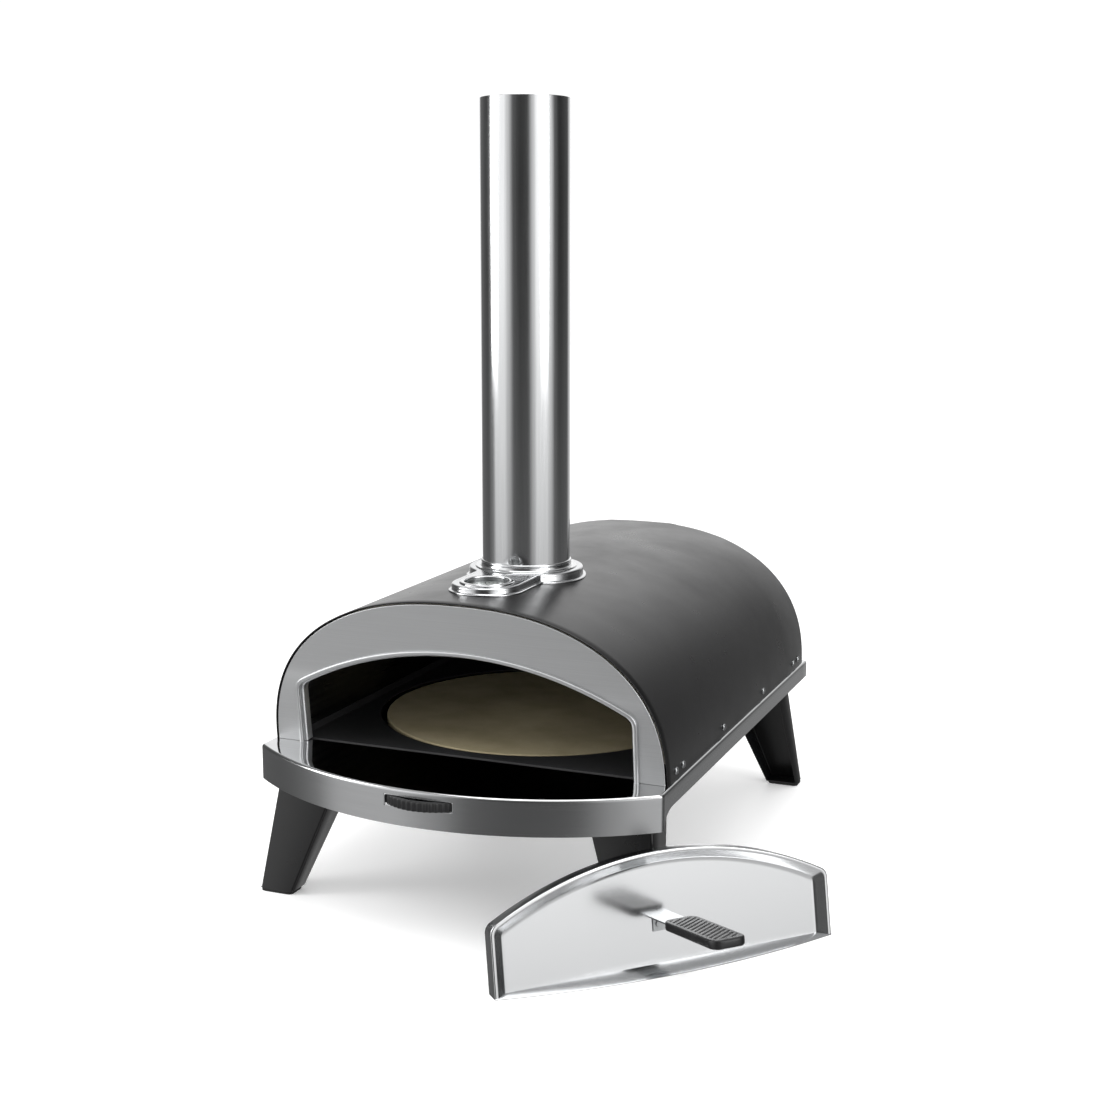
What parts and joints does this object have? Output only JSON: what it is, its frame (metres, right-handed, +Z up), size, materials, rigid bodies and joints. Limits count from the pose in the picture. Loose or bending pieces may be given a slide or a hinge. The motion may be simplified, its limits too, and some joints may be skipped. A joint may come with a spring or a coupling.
{
  "type": "wood fired pizza oven",
  "caption": "Table-top wood fired pizza oven: vaulted steel body on folding legs, stone turned by a thumb wheel, tall chimney, thermometer, rear fuel hatch and burner drawer, separate door.",
  "frame": {"origin": "on the ground, under the middle of the oven and its stood-off door taken together", "axes": "+Z up along the chimney, -Y out of the mouth towards the cook, +X to the cook's right as they face the mouth"},
  "size_m": [0.5569, 0.7171, 0.779],
  "materials": {
    "polished_steel": "polished",
    "brushed_steel": "brushed",
    "plain_steel": "satin",
    "black_powder_coat": "satin powder coat",
    "dark_heat_coat": "dark heat-proof coat",
    "blanket": "fibre blanket",
    "cordierite": "fine-grained, matt",
    "black_plastic": "satin",
    "bronze_bush": "satin",
    "dial_white": "satin",
    "pointer_black": "satin",
    "clear_glass": "clear",
    "foot_rubber": "matt"
  },
  "bodies": {
    "base": {"base_tray": "polished_steel", "floor_plate": "dark_heat_coat", "stone_well": "dark_heat_coat", "gear_pan": "plain_steel", "pan_screws": "plain_steel", "pan_brackets": "plain_steel", "gear_posts": "plain_steel", "post_clips": "plain_steel", "turntable_spindle": "plain_steel", "outer_shell": "black_powder_coat", "side_rails": "plain_steel", "side_bolts": "plain_steel", "inner_liner": "dark_heat_coat", "insulation": "blanket", "front_panel": "brushed_steel", "mouth_frame": "brushed_steel", "back_plate": "plain_steel", "rear_panel": "black_powder_coat", "rear_screws": "plain_steel", "fuel_chute": "dark_heat_coat", "hatch_pin": "plain_steel", "hatch_brackets": "plain_steel", "drawer_runners": "plain_steel", "flame_guard": "dark_heat_coat", "flue_collar": "polished_steel", "flue_socket": "polished_steel", "thermometer_case": "plain_steel", "thermometer_bezel": "polished_steel", "thermometer_dial": "dial_white", "thermometer_glass": "clear_glass", "thermometer_stem": "plain_steel", "leg_brackets": "plain_steel", "leg_pins": "plain_steel"},
    "turntable": {"turntable_bush": "bronze_bush", "turntable_carrier": "plain_steel", "turntable_gear": "plain_steel", "pizza_stone": "cordierite"},
    "idler": {"idler_gear": "plain_steel"},
    "hand_wheel": {"thumb_wheel": "black_plastic", "wheel_gear": "plain_steel"},
    "pointer": {"thermometer_pointer": "pointer_black"},
    "chimney": {"chimney_pipe": "polished_steel"},
    "hatch": {"fuel_hatch": "black_powder_coat", "hatch_knob": "black_plastic"},
    "drawer": {"fuel_basket": "plain_steel", "fuel_grate": "plain_steel", "drawer_front": "black_powder_coat", "drawer_handle": "plain_steel"},
    "front_left_leg": {"leg_front_left": "black_powder_coat", "foot_front_left": "foot_rubber"},
    "front_right_leg": {"leg_front_right": "black_powder_coat", "foot_front_right": "foot_rubber"},
    "rear_left_leg": {"leg_rear_left": "black_powder_coat", "foot_rear_left": "foot_rubber"},
    "rear_right_leg": {"leg_rear_right": "black_powder_coat", "foot_rear_right": "foot_rubber"},
    "door": {"door_pan": "polished_steel", "door_bracket": "plain_steel", "door_grip": "black_plastic", "door_rivets": "plain_steel"}
  },
  "joints": [
    {"name": "turntable_spin", "type": "hinge", "parent": "base", "child": "turntable", "pos_m": [-0.0679, 0.0156, 0.137], "axis": [0, 0, 1], "continuous": true},
    {"name": "idler_spin", "type": "hinge", "parent": "base", "child": "idler", "pos_m": [-0.0679, -0.1624, 0.137], "axis": [0, 0, 1], "continuous": true},
    {"name": "wheel_spin", "type": "hinge", "parent": "base", "child": "hand_wheel", "pos_m": [-0.0679, -0.2384, 0.137], "axis": [0, 0, 1], "continuous": true},
    {"name": "pointer_turn", "type": "hinge", "parent": "base", "child": "pointer", "pos_m": [-0.0679, -0.125, 0.306], "axis": [0, 0, 1], "range_deg": [-250, 0]},
    {"name": "chimney_lift", "type": "slide", "parent": "base", "child": "chimney", "axis": [0, 0, 1], "range_m": [0, 0.15]},
    {"name": "hatch_swing", "type": "hinge", "parent": "base", "child": "hatch", "pos_m": [-0.0679, 0.3338, 0.273], "axis": [1, 0, 0], "range_deg": [0, 110]},
    {"name": "drawer_slide", "type": "slide", "parent": "base", "child": "drawer", "axis": [0, 1, 0], "range_m": [0, 0.1]},
    {"name": "front_left_fold", "type": "hinge", "parent": "base", "child": "front_left_leg", "pos_m": [-0.0679, -0.175, 0.12], "axis": [1, 0, 0], "range_deg": [0, 101]},
    {"name": "front_right_fold", "type": "hinge", "parent": "base", "child": "front_right_leg", "pos_m": [-0.0679, -0.175, 0.12], "axis": [1, 0, 0], "range_deg": [0, 101]},
    {"name": "rear_left_fold", "type": "hinge", "parent": "base", "child": "rear_left_leg", "pos_m": [-0.0679, 0.2854, 0.12], "axis": [-1, 0, 0], "range_deg": [0, 101]},
    {"name": "rear_right_fold", "type": "hinge", "parent": "base", "child": "rear_right_leg", "pos_m": [-0.0679, 0.2854, 0.12], "axis": [-1, 0, 0], "range_deg": [0, 101]},
    {"name": "door_lift", "type": "slide", "parent": "base", "child": "door", "axis": [0, 0, 1], "range_m": [0, 0.25]}
  ],
  "couplings": [
    {"joint": "idler_spin", "follows": "turntable_spin", "ratio": -2.56},
    {"joint": "wheel_spin", "follows": "turntable_spin", "ratio": 4.9231}
  ]
}
